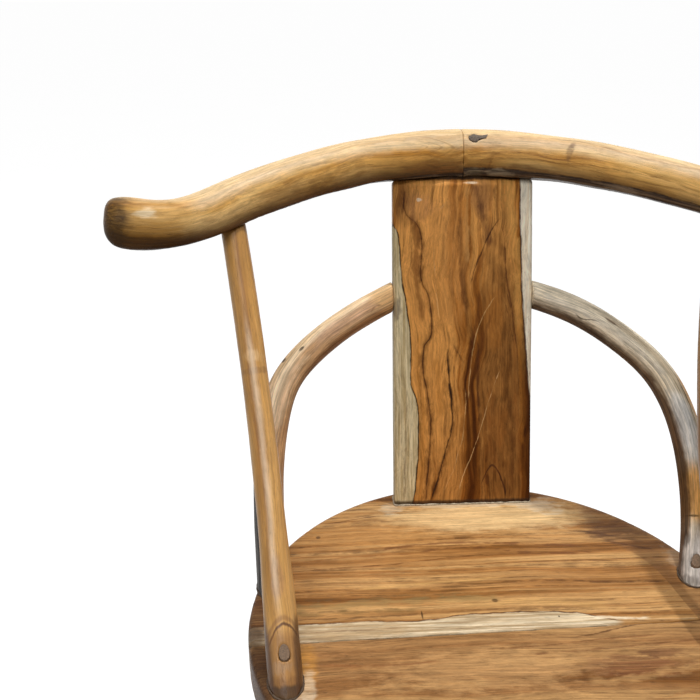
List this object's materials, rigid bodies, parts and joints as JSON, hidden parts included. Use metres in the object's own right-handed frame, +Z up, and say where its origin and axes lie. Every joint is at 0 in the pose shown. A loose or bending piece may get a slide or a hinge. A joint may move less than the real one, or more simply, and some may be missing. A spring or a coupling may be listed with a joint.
{
  "type": "horseshoe back armchair",
  "caption": "Wooden armchair with a round plank seat, a leaning splat, a crescent arm rail on bowed posts and curved branch braces, over splayed round legs joined by stretchers.",
  "frame": {"origin": "on the floor under the middle of the chair's bounding box", "axes": "+Z up, -Y the way the sitter faces, +X to the right of someone who stands in front of the chair"},
  "size_m": [0.6938, 0.5644, 0.8414],
  "materials": {
    "rail_wood": "golden honey brown, satin oiled, fine streaks along the curve",
    "splat_wood": "rich mid brown with dark veins, pale sapwood along both edges, satin oiled",
    "seat_wood": "light golden brown with brown streaks, satin oiled",
    "tan_branch_wood": "bare tan branch, matte",
    "grey_branch_wood": "bare branch weathered grey-beige, matte",
    "post_wood": "golden tan, satin oiled",
    "frame_wood": "golden brown, satin oiled",
    "dowel_wood": "bare pale hardwood",
    "plug_wood": "dark end-grain plug, matte",
    "knot_putty": "dark hardened filler in a knot",
    "screw_steel": "plain steel wood screws"
  },
  "bodies": {
    "root": {"splat": "splat_wood", "arm_post_right": "post_wood", "arm_post_left": "post_wood", "brace_right": "grey_branch_wood", "brace_left": "tan_branch_wood", "brace_dowels": "dowel_wood", "foot_screws": "screw_steel", "foot_plugs": "plug_wood", "rail_left": "rail_wood", "rail_right": "rail_wood", "knot_filler": "knot_putty", "rail_dowels": "dowel_wood", "stretcher_front": "frame_wood", "stretcher_left": "frame_wood", "stretcher_right": "frame_wood", "stretcher_rear": "frame_wood", "leg_front_left": "frame_wood", "leg_front_right": "frame_wood", "leg_rear_left": "frame_wood", "leg_rear_right": "frame_wood", "batten_left": "frame_wood", "batten_right": "frame_wood", "batten_screws": "screw_steel", "seat_board_rear": "seat_wood", "seat_board_front": "seat_wood", "seam_dowels": "dowel_wood"}
  },
  "joints": []
}
